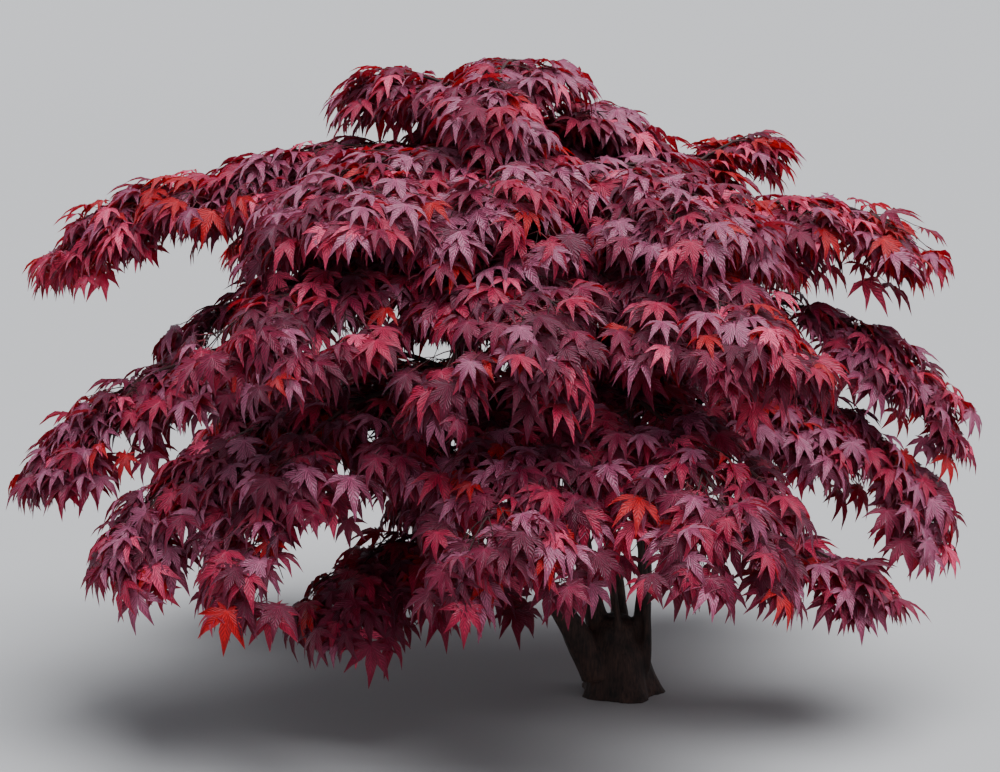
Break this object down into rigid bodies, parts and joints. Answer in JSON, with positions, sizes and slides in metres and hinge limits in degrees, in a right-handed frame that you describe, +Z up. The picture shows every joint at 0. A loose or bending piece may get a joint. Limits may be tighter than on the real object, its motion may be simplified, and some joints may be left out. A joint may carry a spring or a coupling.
{
  "type": "rooted japanese maple",
  "caption": "Low, wide Japanese maple with dark red lobed leaves in drooping tiers, on a short trunk that forks near the ground. It is rooted and cut flat at ground level.",
  "frame": {"origin": "middle of the flat cut under the trunk, at ground level", "axes": "+Z up, +X to the right along the crown's longest extent, +Y away from the front, so the front faces -Y"},
  "size_m": [1.887, 1.599, 1.2601],
  "materials": {
    "bark": "matte",
    "leaves": "satin"
  },
  "bodies": {
    "root": {"trunk": "bark", "stem_back": "bark", "stem_left": "bark", "stem_low_left": "bark", "stem_right": "bark", "stem_thin": "bark", "stem_thin_right": "bark", "bough_lower_back_left": "bark", "bough_lower_back_right": "bark", "bough_lower_front": "bark", "bough_lower_front_left": "bark", "bough_lower_front_right": "bark", "bough_lower_left_far": "bark", "bough_lower_right": "bark", "bough_lower_right_far": "bark", "bough_middle_back": "bark", "bough_middle_front_left": "bark", "bough_middle_left": "bark", "bough_middle_right": "bark", "bough_skirt_left": "bark", "bough_top_left": "bark", "bough_top_right": "bark", "bough_upper_back_left": "bark", "bough_upper_back_right": "bark", "bough_upper_front": "bark", "bough_upper_front_left": "bark", "bough_upper_left": "bark", "bough_upper_left_far": "bark", "bough_upper_right": "bark", "bough_upper_right_far": "bark", "foliage_lower_back_left": "leaves", "foliage_lower_back_right": "leaves", "foliage_lower_front": "leaves", "foliage_lower_front_left": "leaves", "foliage_lower_front_right": "leaves", "foliage_lower_left": "leaves", "foliage_lower_left_far": "leaves", "foliage_lower_right": "leaves", "foliage_lower_right_far": "leaves", "foliage_middle_back": "leaves", "foliage_middle_front": "leaves", "foliage_middle_front_left": "leaves", "foliage_middle_front_right": "leaves", "foliage_middle_left": "leaves", "foliage_middle_right": "leaves", "foliage_skirt_left": "leaves", "foliage_top_back": "leaves", "foliage_top_front": "leaves", "foliage_top_left": "leaves", "foliage_top_right": "leaves", "foliage_upper_back_left": "leaves", "foliage_upper_back_right": "leaves", "foliage_upper_front": "leaves", "foliage_upper_front_left": "leaves", "foliage_upper_left": "leaves", "foliage_upper_left_far": "leaves", "foliage_upper_right": "leaves", "foliage_upper_right_far": "leaves", "foliage_upper_right_spike": "leaves"}
  },
  "joints": []
}
